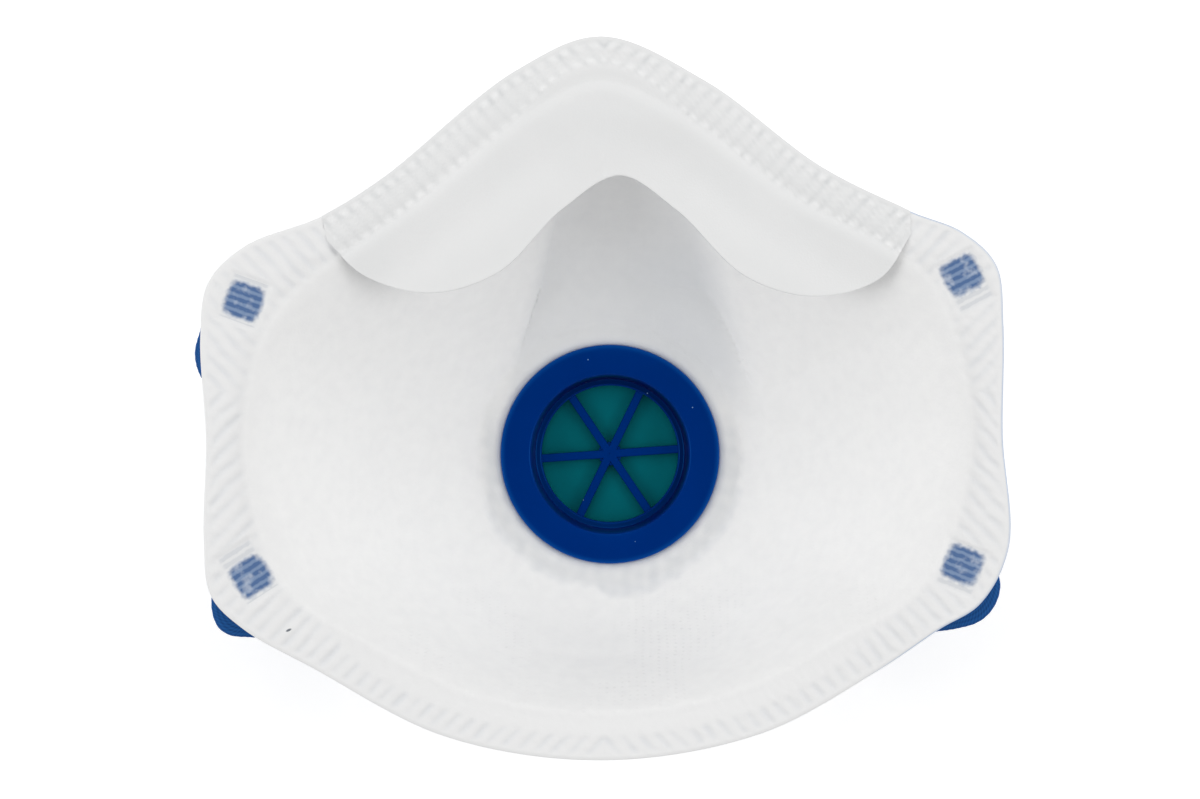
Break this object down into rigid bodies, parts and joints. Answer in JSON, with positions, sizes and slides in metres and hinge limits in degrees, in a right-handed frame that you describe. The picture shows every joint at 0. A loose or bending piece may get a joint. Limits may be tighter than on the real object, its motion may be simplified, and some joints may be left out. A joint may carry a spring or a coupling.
{
  "type": "respirator mask",
  "caption": "Moulded cup respirator mask with a crimped flange, soft nose seal, round exhalation valve and elastic head straps, lying on its front.",
  "frame": {"origin": "centre of the valve cover's flat front face, on which the mask lies", "axes": "+Z out of the mask towards the wearer's face, +Y towards the nose, +X across the mask"},
  "size_m": [0.1482, 0.1321, 0.0538],
  "materials": {
    "nonwoven": "matt bonded nonwoven",
    "seal_pad": "matt soft pad",
    "blue_moulding": "satin moulded",
    "silicone": "satin silicone",
    "elastic": "knitted elastic"
  },
  "bodies": {
    "root": {"cup_shell": "nonwoven", "nose_seal": "seal_pad", "valve_seat": "blue_moulding", "valve_cover": "blue_moulding", "valve_diaphragm": "silicone", "strap_upper": "elastic", "strap_lower": "elastic"}
  },
  "joints": []
}
